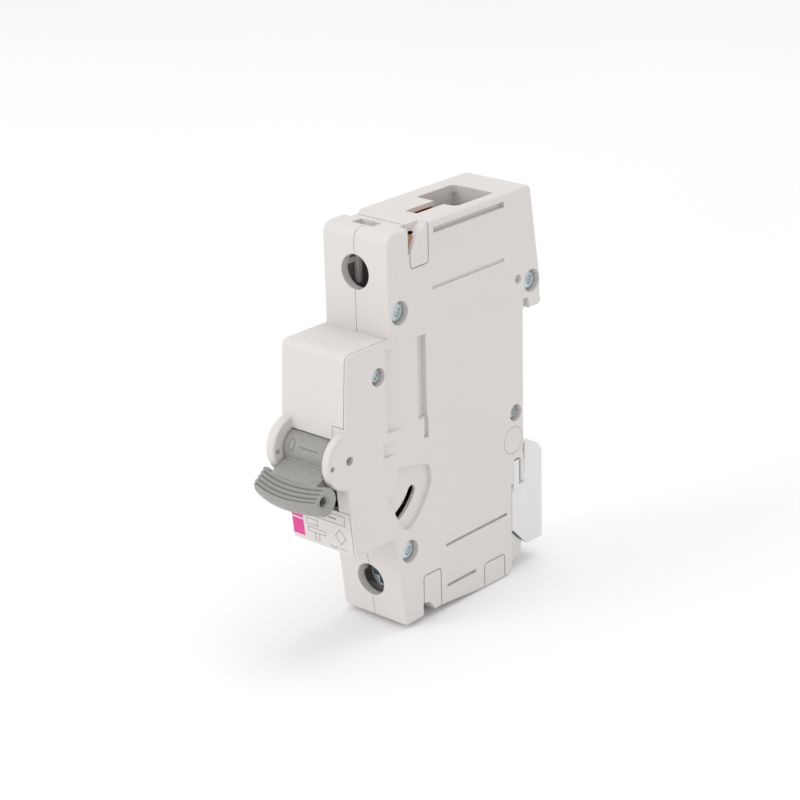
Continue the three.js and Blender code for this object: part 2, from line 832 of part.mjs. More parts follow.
// Heavy enamelled wire, wound close: its turns show as ridges.
function solenoidCoil() {
  const turns = 6;
  const from = -25.6;
  const pitch = 14.2 / turns;
  const ridges = [];
  for (let k = 0; k < turns; k++) {
    const start = from + k * pitch;
    ridges.push([5.2, start], [5.8, start + pitch * 0.3], [5.8, start + pitch * 0.7]);
  }
  const end = from + turns * pitch;
  return turned("y", COIL_HEIGHT, 0, [[3.95, from], ...ridges, [5.2, end], [3.95, end], [3.95, from]], 14);
}

const fixedCore = () => rod("y", COIL_HEIGHT, 0, 2.45, -15.5, -9.8, 20);

// The plunger has a thin neck and a collar in front that pulls the trip lever.
function plunger() {
  const profile = [
    [0, -35.4],
    [1.7, -35.4],
    [1.7, -34.5],
    [0.8, -34.5],
    [0.8, -27.4],
    [2.4, -27.4],
    [2.4, -19.6],
    [0, -19.6],
  ];
  return turned("y", COIL_HEIGHT, 0, profile, 18);
}

const plungerSpring = () => spring("y", COIL_HEIGHT, 0, 1.6, -19.1, -16, 4, 0.4);

function magnetYoke() {
  const corners = [
    [-29, 8.8],
    [-27.9, 8.8],
    [-27.9, 22.4],
    [-9.1, 22.4],
    [-9.1, 8.8],
    [-8, 8.8],
    [-8, 23.6],
    [-29, 23.6],
  ];
  return cut(
    prism("x", corners, -5.5, 5.5),
    rod("y", COIL_HEIGHT, 0, 1.5, -30, -27, 18),
    rod("y", COIL_HEIGHT, 0, 1.2, -10, -7, 18),
  );
}

// A lever with a fork round the plunger's neck and a nose below its pivot.
function tripLever() {
  const corners = [
    [-34.1, 18.2],
    [-34.1, 3.4],
    [-35.2, 0.2],
    [-35.0, -1.6],
    [-34.2, -1.6],
    [-31.9, 0.6],
    [-31.9, 3.4],
    [-32.9, 5],
    [-32.9, 18.2],
  ];
  const toe = { y: -40.6, z: 5 };
  return cut(
    join(prism("x", corners, -2.4, 2.4), bar({ y: -33.4, z: 5 }, toe, 1.2, -5.8, -2.2)),
    block(-1.1, 1.1, -36, -31, COIL_HEIGHT - 1.1, 20),
    rod("x", TRIP_AXIS.y, TRIP_AXIS.z, 0.8, -4, 4, 14),
  );
}

// ---------------------------------------------------------------- thermal trip
const bimetalStrip = () =>
  prism(
    "x",
    [
      [-44.6, -15.2],
      [-43.7, -15.2],
      [-43.7, 4],
      [-43, 5],
      [-43.6, 5.6],
      [-44.6, 4.2],
    ],
    -6,
    -2.7,
  );

// A steel bracket that holds the bimetal's foot, with a tongue for the calibrating screw.
function bimetalBracket() {
  const corners = [
    [-46.1, -19.4],
    [-37.4, -19.4],
    [-37.4, -18.2],
    [-44.9, -18.2],
    [-44.9, -12.2],
    [-46.1, -12.2],
  ];
  return cut(
    prism("x", corners, -6, 2),
    rod("y", -14.2, -4.3, 1.25, -47, -44, 16),
    rod("z", 0.5, -42.5, 0.8, -20, -17, 14),
  );
}

function calibratingScrew() {
  const body = turned(
    "y",
    -14.2,
    -4.3,
    [
      [0, -49.4],
      [1.8, -49.4],
      [1.8, -48.3],
      [0.95, -48.3],
      [0.95, -44.95],
      [0, -44.95],
    ],
    16,
  );
  return cut(body, block(-6.3, -2.3, -50, -48.9, -14.4, -14));
}

// Flexible braids of fine copper wire, held at both ends.
function braid(points, radius, steps) {
  const path = new THREE.CatmullRomCurve3(points.map(([x, y, z]) => new THREE.Vector3(x, y, z)));
  return wire(path, radius, steps, 8);
}

const terminalBraid = () =>
  braid(
    [
      [0.4, -40.4, -17],
      [0.4, -38, -16.6],
      [0.2, -35.6, -16.8],
      [0, -34.2, -18.9],
    ],
    0.7,
    9,
  );

const armBraid = () =>
  braid(
    [
      [-3.6, -31.2, -12.9],
      [-4.3, -33.6, -14.5],
      [-4.6, -37.3, -14.8],
      [-4.7, -40.6, -12],
      [-4.5, -42.1, -7],
    ],
    0.7,
    14,
  );

// ---------------------------------------------------------------- arc chute
const ARC_PLATES = 8;
const CHUTE_FRONT = -19.2;
const CHUTE_BACK = -8.6;
const CHUTE_LOW = -26;
const CHUTE_PITCH = 2.1;

// A steel splitter plate with a V notch towards the contacts.
function arcPlate(index) {
  const low = CHUTE_LOW + index * CHUTE_PITCH;
  const corners = [
    [-5, CHUTE_FRONT],
    [-1.2, CHUTE_FRONT + 4],
    [1.2, CHUTE_FRONT + 4],
    [5, CHUTE_FRONT],
    [5, CHUTE_BACK],
    [-5, CHUTE_BACK],
  ];
  return prism("z", corners, low, low + 0.9);
}

function chuteSide(side) {
  const [x0, x1] = sideways(side, 5.3, 6.1);
  const high = CHUTE_LOW + ARC_PLATES * CHUTE_PITCH;
  return block(x0, x1, CHUTE_FRONT - 0.6, CHUTE_BACK, CHUTE_LOW - 0.6, high);
}

// A copper runner that leads the arc from the moving contact down into the chute.
const arcRunner = () =>
  prism(
    "x",
    [
      [-29.4, -27.6],
      [-9, -27.6],
      [-9, -28.6],
      [-30.4, -28.6],
      [-30.4, -22.4],
      [-29.4, -22.4],
    ],
    -2.2,
    2.2,
  );

// ---------------------------------------------------------------- terminals, above (+1) and below (-1)
const SCREW_TIP = -20;
const UPPER_SCREW_FRONT = -37.2;
const LOWER_SCREW_FRONT = -38.7;
const PLATE_FRONT = -19.6;
const PLATE_BACK = -18.2;
const CAGE_FRONT = -23.4;

function terminalScrew(end) {
  const shank = 2.35;
  const front = end > 0 ? UPPER_SCREW_FRONT : LOWER_SCREW_FRONT;
  const slotFloor = front + 1.4;
  const profile = [
    [0, front],
    [3.0, front],
    [3.4, front + 0.4],
    [3.4, front + 2.6],
    [shank, front + 2.6],
    [shank, SCREW_TIP - 0.8],
    [shank - 0.8, SCREW_TIP],
    [0, SCREW_TIP],
  ];
  const height = end * SCREW_HEIGHT;
  return cut(
    turned("y", height, 0, profile, 24),
    block(-0.55, 0.55, front - 1, slotFloor, height - 2.3, height + 2.3),
    block(-2.3, 2.3, front - 1, slotFloor, height - 0.55, height + 0.55),
  );
}

// A square steel cage that the screw draws forward, squeezing the wire on the plate.
function clampCage(end) {
  const height = end * SCREW_HEIGHT;
  const half = 4;
  const outside = block(-5, 5, CAGE_FRONT, CAGE_FRONT + 15.2, height - half, height + half);
  return cut(
    outside,
    block(-4, 4, CAGE_FRONT + 2.2, CAGE_FRONT + 13.8, height - half - 1, height + half + 1),
    rod("y", height, 0, 2.65, CAGE_FRONT - 1, CAGE_FRONT + 3, 20),
  );
}

// A copper bar through the cage; above, its tongue reaches forward under the top wall, with a
// pad under the busbar opening and a lug in the notch of each side wall.
function upperTerminalPlate() {
  const notchLug = [
    [-36.7, 42.3],
    [-36.7, 40],
    [-35.9, 41.4],
    [-35, 42.3],
  ];
  return join(
    block(-3.6, 3.6, PLATE_FRONT, PLATE_BACK, 24.6, 39.6),
    block(-3.6, 3.6, -35.4, PLATE_BACK, 39.5, 40.5),
    block(-7.05, 7.05, -36.6, -33, 39.5, 40.5),
    block(-7.05, 7.05, -36.6, -34.9, 39.5, 42.2),
    prism("x", notchLug, -8.2, 8.2),
    block(-3.6, 3.6, -29.7, -20, 39.5, 42.9),
    block(-3.6, 3.6, -22, PLATE_BACK, 23.9, 25),
  );
}

function lowerTerminalPlate() {
  return join(
    block(-3.6, 3.6, PLATE_FRONT, PLATE_BACK, -39.6, -29.2),
    block(-3.6, 3.6, -34.8, PLATE_BACK, -30.3, -29.2),
    block(-1.6, 1.6, -34.8, -33.6, -30.3, -20.2),
  );
}

// ---------------------------------------------------------------- rail clip
// A plastic slider with a jaw that catches the rail's lower edge from behind.
function dinClip() {
  const half = 7.95;
  const jaw = [
    [1.3, -22.8],
    [1.3, -15.1, 0.4],
    [3.2, -15.3, 0.8],
    [5.6, -16.6, 1.2],
    [7.5, -18.7, 0.4],
    [7.5, -40.4, 0.5],
    [2.2, -40.4, 0.4],
    [0.7, -39.2],
    [0.7, -18.0],
    [1.0, -17.8],
  ];
  const cheek = [
    [1.2, -24.4],
    [-3.9, -24.4],
    [-3.9, -35.0],
    [-3.4, -35.2],
    [0.4, -38.9],
    [1.2, -39],
  ];
  const ribs = onBothSides((side) => {
    const [x0, x1] = sideways(side, 6, HALF - 0.2);
    return block(x0, x1, -3.7, -1.75, -25.4, -18.1);
  });
  const cheeks = onBothSides((side) => {
    const [x0, x1] = sideways(side, 7.8, 8.45);
    return prism("x", cheek, x0, x1);
  });
  const bridge = onBothSides((side) => {
    const [x0, x1] = sideways(side, 6, 8.45);
    return block(x0, x1, -3.7, 0.9, -30, -24.4);
  });
  return join(
    prism("x", jaw, -half, half),
    ribs,
    cheeks,
    bridge,
    block(-6.5, 6.5, -5.2, 0.9, -33.6, -24.4),
    block(-6.5, 6.5, -5.2, -3.4, -33.6, -17.9),
    block(-6.5, 6.5, -5.2, -1.75, -20, -17.9),
  );
}

const clipSpring = () => spring("z", 0, -6.6, 1.0, -38.6, -34, 4, 0.45);

// ---------------------------------------------------------------- the assembly
const pieces = new THREE.Group();

function add(name, shape, [colour, roughness, metalness]) {
  const material = new THREE.MeshStandardMaterial({ color: colour, roughness, metalness });
  const mesh = new THREE.Mesh(geometryOf(shape), material);
  mesh.name = name;
  pieces.add(mesh);
}

Object.entries(housing()).forEach(([name, half]) => add(name, half, COLOURS.housing));
Object.entries(RIVETS).forEach(([name, place]) => add(name, rivet(place), COLOURS.zinc));

add("lever", lever(), COLOURS.lever);
add("lever_pin", rod("x", LEVER_AXIS.y, LEVER_AXIS.z, 0.95, -7.6, 7.6, 18), COLOURS.steel);
add("lever_spring", leverSpring(), COLOURS.steel);
add("lever_link", leverLink(), COLOURS.steel);

add("contact_carrier", contactCarrier(), COLOURS.bobbin);
add("carrier_pin", rod("x", CARRIER_AXIS.y, CARRIER_AXIS.z, 1.0, -6.6, 6.6, 16), COLOURS.steel);
add("contact_arm", contactArm(), COLOURS.copper);
add("moving_contact_tip", movingContactTip(), COLOURS.silver);
add("fixed_contact_tip", fixedContactTip(), COLOURS.silver);
add("fixed_contact_plate", fixedContactPlate(), COLOURS.copper);
add("contact_spring", contactSpring(), COLOURS.steel);

add("coil_bobbin", coilBobbin(), COLOURS.bobbin);
add("solenoid_coil", solenoidCoil(), COLOURS.enamel);
add("fixed_core", fixedCore(), COLOURS.steel);
add("plunger", plunger(), COLOURS.zinc);
add("plunger_spring", plungerSpring(), COLOURS.steel);
add("magnet_yoke", magnetYoke(), COLOURS.steel);
add("trip_lever", tripLever(), COLOURS.bobbin);
add("trip_lever_pin", rod("x", TRIP_AXIS.y, TRIP_AXIS.z, 0.65, -6.6, 6.6, 14), COLOURS.steel);

add("bimetal_strip", bimetalStrip(), COLOURS.steel);
add("bimetal_bracket", bimetalBracket(), COLOURS.zinc);
add("calibrating_screw", calibratingScrew(), COLOURS.brass);
add("terminal_braid", terminalBraid(), COLOURS.copper);
add("contact_arm_braid", armBraid(), COLOURS.copper);

for (let k = 0; k < ARC_PLATES; k++) add(`arc_plate_${k + 1}`, arcPlate(k), COLOURS.zinc);
add("chute_side_left", chuteSide(-1), COLOURS.fibre);
add("chute_side_right", chuteSide(1), COLOURS.fibre);
add("arc_runner", arcRunner(), COLOURS.copper);

add("upper_terminal_screw", terminalScrew(1), COLOURS.zinc);
add("lower_terminal_screw", terminalScrew(-1), COLOURS.zinc);
add("upper_clamp_cage", clampCage(1), COLOURS.zinc);
add("lower_clamp_cage", clampCage(-1), COLOURS.zinc);
add("upper_terminal_plate", upperTerminalPlate(), COLOURS.copper);
add("lower_terminal_plate", lowerTerminalPlate(), COLOURS.copper);

add("din_clip", dinClip(), COLOURS.clip);
add("din_clip_spring", clipSpring(), COLOURS.steel);

export default pieces;
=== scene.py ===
"""Looks for a single pole miniature circuit breaker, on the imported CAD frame."""

import json
import math

import bmesh
import bpy
from mathutils import Matrix, Vector


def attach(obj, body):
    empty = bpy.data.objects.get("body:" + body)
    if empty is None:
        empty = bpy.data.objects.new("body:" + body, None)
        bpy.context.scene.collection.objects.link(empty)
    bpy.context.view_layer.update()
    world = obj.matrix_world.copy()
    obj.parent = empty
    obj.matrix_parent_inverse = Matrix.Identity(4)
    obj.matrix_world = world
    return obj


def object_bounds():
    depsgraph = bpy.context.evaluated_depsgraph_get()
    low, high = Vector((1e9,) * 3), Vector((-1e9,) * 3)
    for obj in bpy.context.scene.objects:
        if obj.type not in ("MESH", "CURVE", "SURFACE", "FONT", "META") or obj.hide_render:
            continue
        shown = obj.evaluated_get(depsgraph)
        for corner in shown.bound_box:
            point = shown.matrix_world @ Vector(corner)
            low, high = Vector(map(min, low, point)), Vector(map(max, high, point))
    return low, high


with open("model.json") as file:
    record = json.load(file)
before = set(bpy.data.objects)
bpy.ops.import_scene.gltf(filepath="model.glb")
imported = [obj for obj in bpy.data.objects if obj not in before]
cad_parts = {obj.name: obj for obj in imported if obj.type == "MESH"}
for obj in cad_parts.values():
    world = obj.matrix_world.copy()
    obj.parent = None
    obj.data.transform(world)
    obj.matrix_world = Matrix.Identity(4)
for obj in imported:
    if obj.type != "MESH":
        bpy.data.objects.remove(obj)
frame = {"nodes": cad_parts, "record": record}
CAD_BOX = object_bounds()
NODES = frame["nodes"]
MM = 0.001

# ------------------------------------------------------------------ camera, light and floor

CAMERA_PLACE = Vector((303.25, -369.4, 180.8)) * MM
CAMERA_AZIMUTH = math.radians(41.88)
CAMERA_ELEVATION = math.radians(21.37)
CAMERA_ROLL = math.radians(-1.52)
SENSOR = 36.0
FOCAL_LENGTH = 102.98
CLIP_END = 20


def turned_camera():
    """The camera's axes: it looks at the object from the front right, a little tilted."""
    away = Vector(
        (
            math.sin(CAMERA_AZIMUTH) * math.cos(CAMERA_ELEVATION),
            -math.cos(CAMERA_AZIMUTH) * math.cos(CAMERA_ELEVATION),
            math.sin(CAMERA_ELEVATION),
        )
    )
    level = Vector((0, 0, 1)).cross(away).normalized()
    upright = away.cross(level)
    cosine, sine = math.cos(CAMERA_ROLL), math.sin(CAMERA_ROLL)
    right = level * cosine + upright * sine
    up = upright * cosine - level * sine
    turn = Matrix((right, up, away)).transposed().to_4x4()
    return Matrix.Translation(CAMERA_PLACE) @ turn


def add_camera():
    data = bpy.data.cameras.new("camera")
    data.sensor_width = SENSOR
    data.lens = FOCAL_LENGTH
    data.clip_end = CLIP_END
    camera = bpy.data.objects.new("camera", data)
    camera.matrix_world = turned_camera()
    bpy.context.scene.collection.objects.link(camera)
    bpy.context.scene.camera = camera


# name, place in metres, width in metres, power in watts, colour
LIGHTS = [
    ("key_light", (-0.45, -1.05, 0.55), 0.6, 3.0, (1.0, 0.985, 0.97)),
    ("side_light", (0.75, -0.95, 0.35), 0.5, 0.25, (0.98, 0.99, 1.0)),
    ("top_light", (0.1, 0.2, 1.3), 0.9, 3.6, (1.0, 0.99, 1.0)),
]
LIT_POINT = (0, -0.03, 0)
STUDIO_STRENGTH = 0.84


def area_light(name, place, size, power, colour):
    data = bpy.data.lights.new(name, "AREA")
    data.shape = "DISK"
    data.size = size
    data.energy = power
    data.color = colour
    light = bpy.data.objects.new(name, data)
    light.location = place
    light.rotation_euler = (Vector(place) - Vector(LIT_POINT)).to_track_quat("Z", "Y").to_euler()
    bpy.context.scene.collection.objects.link(light)


def add_lights():
    for light in LIGHTS:
        area_light(*light)
    world = bpy.data.worlds.new("studio")
    world.use_nodes = True
    background = world.node_tree.nodes["Background"]
    background.inputs["Color"].default_value = (1.0, 1.0, 1.0, 1.0)
    background.inputs["Strength"].default_value = STUDIO_STRENGTH
    bpy.context.scene.world = world
    bpy.context.scene.view_settings.view_transform = "Standard"


# ------------------------------------------------------------------ materials


# the mix node's colour sockets share their names with its number sockets
COLOUR_A, COLOUR_B, COLOUR_RESULT = 6, 7, 2

# noise scales: about how many patches there are to a metre
PAPER_DRIFT = 3
TONE_DRIFT = 70
STAINS = 260
SHINE_DRIFT = 300
RUBBED_PATCHES = 900
INK_SHINE = 1500
INK_COVER = 2400
BRUSH_MARKS = 2600
SPECKS = 4200
INK_GRAIN = 4200
MOULD_GRAIN = 5200

# how light a mark is beside the colour round it
SPECK_TONE = 0.8
# painted shade: how dark the grip's grooves are painted, standing in for the shade that falls in
# them
PAINTED_GROOVE_SHADE_TONE = 0.5
RUBBED_PLASTIC_TONE = 1.12
RUBBED_METAL_TONE = 1.25
THIN_INK_TONE = 1.5

# where the pointiness of an edge starts and stops to count
EDGE_START, EDGE_FULL = 0.51, 0.57

BRUSH_DEPTH = 0.00003
INK_DEPTH = 0.00001


class Nodes:
    """A material's node tree, with short ways to add and join nodes."""

    def __init__(self, name):
        self.material = bpy.data.materials.new(name)
        self.material.use_nodes = True
        self.tree = self.material.node_tree
        self.shader = self.tree.nodes["Principled BSDF"]
        place = self.tree.nodes.new("ShaderNodeTexCoord")
        self.place = place.outputs["Object"]
        self.facing = place.outputs["Normal"]

    def add(self, kind, **values):
        node = self.tree.nodes.new(kind)
        for key, value in values.items():
            setattr(node, key, value)
        return node

    def join(self, out, into):
        self.tree.links.new(out, into)

    def noise(self, scale, detail=3.0, stretch=None):
        node = self.add("ShaderNodeTexNoise")
        node.inputs["Scale"].default_value = scale
        node.inputs["Detail"].default_value = detail
        source = self.place
        if stretch:
            mapping = self.add("ShaderNodeMapping")
            mapping.inputs["Scale"].default_value = stretch
            self.join(self.place, mapping.inputs["Vector"])
            source = mapping.outputs["Vector"]
        self.join(source, node.inputs["Vector"])
        return node.outputs["Fac"]

    def spread(self, value, low, high, start=0.3, end=0.7):
        node = self.add("ShaderNodeMapRange")
        self.join(value, node.inputs["Value"])
        node.inputs["From Min"].default_value = start
        node.inputs["From Max"].default_value = end
        node.inputs["To Min"].default_value = low
        node.inputs["To Max"].default_value = high
        return node.outputs["Result"]

    def mix(self, share, first, second):
        node = self.add("ShaderNodeMix", data_type="RGBA")
        self.put(share, node.inputs["Factor"])
        self.put(first, node.inputs[COLOUR_A])
        self.put(second, node.inputs[COLOUR_B])
        return node.outputs[COLOUR_RESULT]

    def maths(self, operation, *values):
        node = self.add("ShaderNodeMath", operation=operation)
        for index, value in enumerate(values):
            self.put(value, node.inputs[index])
        return node.outputs[0]

    def along(self, source, direction):
        """How far a vector reaches in a direction."""
        node = self.add("ShaderNodeVectorMath", operation="DOT_PRODUCT")
        self.join(source, node.inputs[0])
        node.inputs[1].default_value = direction
        return node.outputs["Value"]

    def put(self, value, socket):
        if isinstance(value, bpy.types.NodeSocket):
            self.join(value, socket)
        elif isinstance(value, tuple):
            socket.default_value = (*value, 1.0)
        else:
            socket.default_value = value

    def bump(self, height, strength, distance):
        node = self.add("ShaderNodeBump")
        node.inputs["Strength"].default_value = strength
        node.inputs["Distance"].default_value = distance
        self.join(height, node.inputs["Height"])
        self.join(node.outputs["Normal"], self.shader.inputs["Normal"])


def lighter(colour, factor):
    return tuple(min(1.0, part * factor) for part in colour)


def worn_edges(nodes, colour, worn, amount):
    """The colour, and another one along convex edges, broken up by noise."""
    geometry = nodes.add("ShaderNodeNewGeometry")
    edge = nodes.spread(geometry.outputs["Pointiness"], 0.0, 1.0, EDGE_START, EDGE_FULL)
    patchy = nodes.spread(nodes.noise(RUBBED_PATCHES, 4), 0.0, amount, 0.4, 0.65)
    return nodes.mix(nodes.maths("MULTIPLY", edge, patchy), colour, worn)


# The grip's grooves get painted shade: their valleys are darkened in colour on outward faces.
GRIP_TOP = Vector((0, -63.9, -3.5))
GRIP_DOWN = Vector((0, -0.785, -0.619))  # along the grip's front, across its ridges
GRIP_OUT = Vector((0, -0.619, 0.785))
GRIP_RUN = 4.2
GRIP_BOW = 1.46
GRIP_HALF_WIDTH = 8.75
RIDGES = 4
VALLEY = 0.83  # where a valley lies, as a share of one ridge
FIRST_GROOVE = 0.35
LAST_GROOVE = GRIP_RUN - 0.05
GROOVE_HALF_LENGTH = 8.2
FRONT_START, FRONT_FULL = 0.3, 0.6  # how squarely a face has to look outwards to get the painted groove shade


def painted_grip_groove_shade(nodes):
    """Painted shade for the lever's grip: how deep in a groove a point lies, 0 on a crest and 1 in a
    valley, on faces that look outwards; the colour is darkened by it.
    """
    origin = NODES["lever"].matrix_world.translation / MM
    sideways = nodes.along(nodes.place, Vector((1 / MM, 0, 0)))
    across = nodes.maths("MULTIPLY", sideways, sideways)
    bulge = nodes.maths("MULTIPLY_ADD", across, -GRIP_BOW / GRIP_HALF_WIDTH**2, GRIP_BOW)
    down = nodes.maths("SUBTRACT", nodes.along(nodes.place, GRIP_DOWN / MM), bulge)
    down = nodes.maths("SUBTRACT", down, (GRIP_TOP - origin).dot(GRIP_DOWN))
    pace = 2 * math.pi * RIDGES / GRIP_RUN
    turn = nodes.maths("MULTIPLY_ADD", down, pace, -2 * math.pi * VALLEY)
    wave = nodes.spread(nodes.maths("COSINE", turn), 0.0, 1.0, 0.0, 1.0)
    outwards = nodes.along(nodes.facing, GRIP_OUT)
    front = nodes.spread(outwards, 0.0, 1.0, FRONT_START, FRONT_FULL)
    begun = nodes.maths("GREATER_THAN", down, FIRST_GROOVE)
    ended = nodes.maths("LESS_THAN", down, LAST_GROOVE)
    short_of_ends = nodes.maths("LESS_THAN", across, GROOVE_HALF_LENGTH**2)
    within = nodes.maths("MULTIPLY", nodes.maths("MULTIPLY", begun, ended), short_of_ends)
    return nodes.maths("MULTIPLY", nodes.maths("MULTIPLY", wave, front), within)


def plastic(
    name, colour, roughness, grain=0.00002, vary=0.05, wear=0.5, see_through=0.0, shade_in_grooves=None
):
    """Moulded plastic: slow tone drift, a fine spark-eroded grain, rubbed edges and, when given,
    painted shade in grooves.
    """
    nodes = Nodes(name)
    drift = nodes.spread(nodes.noise(TONE_DRIFT, 2), 0.0, 1.0, 0.25, 0.75)
    tone = nodes.mix(drift, lighter(colour, 1 - vary), lighter(colour, 1 + vary * 0.4))
    speck = nodes.spread(nodes.noise(SPECKS, 2), 0.0, 0.10, 0.55, 0.75)
    tone = nodes.mix(speck, tone, lighter(colour, SPECK_TONE))
    if shade_in_grooves:
        # painted shade: the colour is darkened in the grip's grooves
        tone = nodes.mix(shade_in_grooves(nodes), tone, lighter(colour, PAINTED_GROOVE_SHADE_TONE))
    worn = worn_edges(nodes, tone, lighter(colour, RUBBED_PLASTIC_TONE), wear)
    nodes.join(worn, nodes.shader.inputs["Base Color"])
    rough = nodes.spread(nodes.noise(SHINE_DRIFT, 3), roughness - 0.03, roughness + 0.04)
    nodes.join(rough, nodes.shader.inputs["Roughness"])
    nodes.shader.inputs["Specular IOR Level"].default_value = 0.4
    nodes.shader.inputs["Transmission Weight"].default_value = see_through
    nodes.bump(nodes.noise(MOULD_GRAIN, 2), 0.15, grain)
    return nodes.material


def metal(name, colour, roughness, brush=(1, 1, 1), stain=0.25, wear=0.6):
    """Bare or plated metal: stretched brush marks, darker stains and bright edges."""
    nodes = Nodes(name)
    cloud = nodes.spread(nodes.noise(STAINS, 4), 0.0, 1.0, 0.35, 0.7)
    tone = nodes.mix(cloud, lighter(colour, 1 - stain), colour)
    worn = worn_edges(nodes, tone, lighter(colour, RUBBED_METAL_TONE), wear)
    nodes.join(worn, nodes.shader.inputs["Base Color"])
    nodes.shader.inputs["Metallic"].default_value = 1.0
    marks = nodes.noise(BRUSH_MARKS, 4, brush)
    rough = nodes.spread(marks, roughness - 0.08, roughness + 0.14)
    nodes.join(rough, nodes.shader.inputs["Roughness"])
    nodes.bump(marks, 0.2, BRUSH_DEPTH)
    return nodes.material


def ink(name, colour):
    """Pad-printed ink: a thin film with pinholes and a slightly uneven tone."""
    nodes = Nodes(name)
    cover = nodes.spread(nodes.noise(INK_COVER, 3), 0.0, 0.35, 0.55, 0.8)
    tone = nodes.mix(cover, colour, lighter(colour, THIN_INK_TONE))
    nodes.join(tone, nodes.shader.inputs["Base Color"])
    rough = nodes.spread(nodes.noise(INK_SHINE, 2), 0.4, 0.55)
    nodes.join(rough, nodes.shader.inputs["Roughness"])
    nodes.bump(nodes.noise(INK_GRAIN, 2), 0.2, INK_DEPTH)
    return nodes.material


HOUSING_COLOUR = (0.70, 0.672, 0.655)
LEVER_COLOUR = (0.322, 0.320, 0.302)
CLIP_COLOUR = (0.90, 0.885, 0.885)

MATERIALS = {
    "housing": plastic("moulded_housing", HOUSING_COLOUR, 0.5, vary=0.01, wear=0.1),
    # the lever's colour carries painted shade in its grip's grooves
    "lever": plastic(
        "lever_plastic", LEVER_COLOUR, 0.46, grain=0.00003, vary=0.06, wear=0.7, shade_in_grooves=painted_grip_groove_shade
    ),
    "clip": plastic("clip_plastic", CLIP_COLOUR, 0.4, vary=0.03, wear=0.15, see_through=0.15),
    "black_plastic": plastic("mechanism_plastic", (0.035, 0.035, 0.038), 0.5),
    "fibre": plastic("pressed_fibre", (0.42, 0.33, 0.22), 0.85, grain=0.00006, vary=0.2),
    "zinc_steel": metal("zinc_plated_steel", (0.60, 0.67, 0.70), 0.3, (1, 8, 1)),
    "steel": metal("bare_steel", (0.52, 0.52, 0.53), 0.36, (1, 1, 9)),
    "spring_steel": metal("spring_wire", (0.45, 0.45, 0.46), 0.3),
    "copper": metal("bare_copper", (0.78, 0.39, 0.22), 0.34, (8, 1, 1), 0.4),
    "braid": metal("plaited_copper", (0.66, 0.32, 0.17), 0.45, (1, 1, 1), 0.5),
    "enamelled_copper": metal("enamelled_copper_wire", (0.45, 0.13, 0.05), 0.25),
    "silver": metal("silver_alloy", (0.82, 0.82, 0.80), 0.28),
}
MAGENTA_INK = ink("magenta_ink", (0.72, 0.05, 0.30))
GREY_INK = ink("grey_ink", (0.30, 0.30, 0.31))
LINE_INK = ink("engraved_line", (0.20, 0.20, 0.19))


# ------------------------------------------------------------------ carried-over CAD nodes


WELD_DISTANCE = 0.000002
FLAT_ANGLE = math.radians(0.6)
EDGE_ANGLE = math.radians(32)
BEVEL_SEGMENTS = 2


def weld(node):
    """Joins the facets' corners, so that the shading runs across them."""
    node.modifiers.new("weld", "WELD").merge_threshold = WELD_DISTANCE


def soften(node, width):
    """Rounds a faceted solid's edges and shades it smooth between them."""
    flatten = node.modifiers.new("flatten", "DECIMATE")
    flatten.decimate_type = "DISSOLVE"
    flatten.angle_limit = FLAT_ANGLE
    bevel = node.modifiers.new("round_edges", "BEVEL")
    bevel.width = width * MM
    bevel.segments = BEVEL_SEGMENTS
    bevel.limit_method = "ANGLE"
    bevel.angle_limit = EDGE_ANGLE
    bevel.use_clamp_overlap = True
    bevel.miter_outer = "MITER_ARC"
    bevel.harden_normals = True
    normals = node.modifiers.new("normals", "WEIGHTED_NORMAL")
    normals.keep_sharp = True


USUAL_ROUNDING = 0.1
EDGE_ROUNDING = {
    "lever": 0.16,
    "din_clip": 0.3,
    "upper_clamp_cage": 0.3,
    "lower_clamp_cage": 0.3,
    "magnet_yoke": 0.25,
    "upper_terminal_screw": 0.12,
    "lower_terminal_screw": 0.12,
}
ROUND_NODES = ("braid", "spring", "coil")


def dress_cad_nodes():
    slots = {part["node"]: part["material_slot"] for part in frame["record"]["subparts"]}
    for name, node in NODES.items():
        node.data.materials.clear()
        node.data.materials.append(MATERIALS[slots[name]])
        node.data.shade_smooth()
        weld(node)
        if not any(word in name for word in ROUND_NODES):
            soften(node, EDGE_ROUNDING.get(name, USUAL_ROUNDING))


# ------------------------------------------------------------------ building pieces


def piece(name, mesh, material, body):
    shown = bpy.data.objects.new(name, mesh)
    bpy.context.scene.collection.objects.link(shown)
    mesh.materials.append(material)
    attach(shown, body)
    return shown


MERGE_DISTANCE = 1e-7


def mesh_of(name, faces):
    """A mesh from faces given by their corner points, with shared corners merged."""
    work = bmesh.new()
    for corners in faces:
        work.faces.new([work.verts.new(corner) for corner in corners])
    bmesh.ops.remove_doubles(work, verts=work.verts, dist=MERGE_DISTANCE)
    bmesh.ops.recalc_face_normals(work, faces=work.faces)
    mesh = bpy.data.meshes.new(name)
    work.to_mesh(mesh)
    work.free()
    return mesh


def slab(outline, place, thickness):
    """A flat plate: place(u, v, lift) puts each corner of the outline on a surface."""
    low = [place(u, v, 0.0) for u, v in outline]
    high = [place(u, v, thickness) for u, v in outline]
    count = len(outline)
    sides = [
        (low[i], low[(i + 1) % count], high[(i + 1) % count], high[i]) for i in range(count)
    ]
    return [tuple(reversed(low)), tuple(high), *sides]


